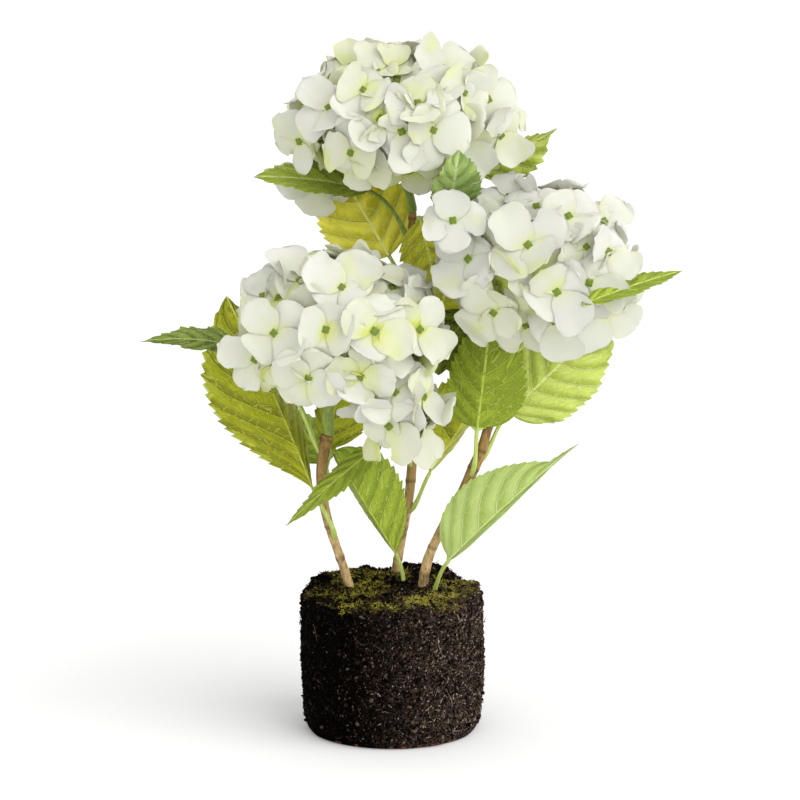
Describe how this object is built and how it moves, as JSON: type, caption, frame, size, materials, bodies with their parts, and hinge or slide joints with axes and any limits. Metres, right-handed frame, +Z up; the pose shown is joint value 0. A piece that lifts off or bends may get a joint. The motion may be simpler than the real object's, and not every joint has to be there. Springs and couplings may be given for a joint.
{
  "type": "artificial hydrangea on a moulded root ball",
  "caption": "White mophead artificial hydrangea with serrated green leaves on woody canes, standing in a moulded drum of dark soil topped with moss.",
  "frame": {"origin": "centre of the root ball's flat underside", "axes": "+Z up, +X to the viewer's right when facing the blooms, -Y toward that viewer"},
  "size_m": [0.3392, 0.2008, 0.4492],
  "materials": {
    "soil": "rough moulded soil-coloured foam, almost black brown, with green moss on top",
    "cane": "matt light brown bark with darker rings",
    "leaf": "printed polyester cloth, lime to olive green, pressed veins",
    "petal": "soft white polyester cloth with a lime tinge at the middle"
  },
  "bodies": {
    "root": {"root_ball": "soil", "cane_left": "cane", "cane_middle": "cane", "cane_right": "cane", "leaf_left_broad": "leaf", "leaf_left_behind": "leaf", "leaf_crossing": "leaf", "leaf_foot_left": "leaf", "leaf_middle": "leaf", "leaf_front": "leaf", "leaf_right_broad": "leaf", "leaf_foot_right": "leaf", "leaf_behind_top": "leaf", "leaf_top_left": "leaf", "leaf_hanging": "leaf", "leaf_upright": "leaf", "leaf_top_right": "leaf", "leaf_far_right": "leaf", "leaf_far_left": "leaf", "leaf_shaded": "leaf", "leaf_inner": "leaf", "leaf_back_left": "leaf", "leaf_back_middle": "leaf", "leaf_back_right": "leaf", "bloom_left": "petal", "bloom_right": "petal", "bloom_top": "petal"}
  },
  "joints": []
}
